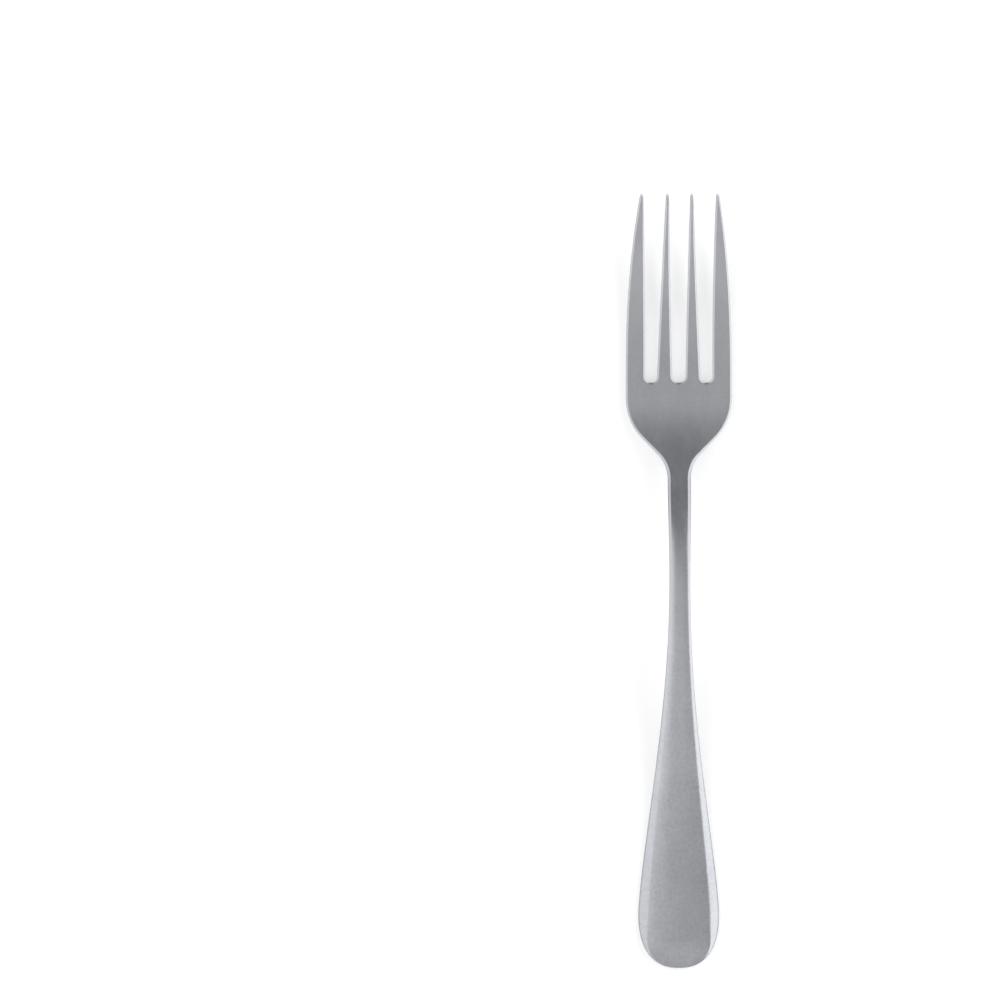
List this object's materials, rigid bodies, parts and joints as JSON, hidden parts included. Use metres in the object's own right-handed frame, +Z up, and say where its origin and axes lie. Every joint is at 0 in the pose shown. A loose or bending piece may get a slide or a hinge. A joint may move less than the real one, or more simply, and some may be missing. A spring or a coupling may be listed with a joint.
{
  "type": "dinner fork",
  "caption": "Dinner fork in satin steel: slim tapering tines, sloping shoulders, an arched neck and a broad round-ended handle, for lifting food.",
  "frame": {"origin": "on the table that the fork lies on, under the middle of its length and width", "axes": "+Y from the end of the handle to the tips of the tines, +Z up, away from the table, +X to the right as seen from above with the tips at the top"},
  "size_m": [0.0278, 0.2028, 0.0165],
  "materials": {
    "satin_steel": "satin stainless steel, faintly brushed, with tiny pits"
  },
  "bodies": {
    "root": {"handle": "satin_steel", "neck": "satin_steel", "head": "satin_steel", "outer_tine_left": "satin_steel", "inner_tine_left": "satin_steel", "inner_tine_right": "satin_steel", "outer_tine_right": "satin_steel"}
  },
  "joints": []
}
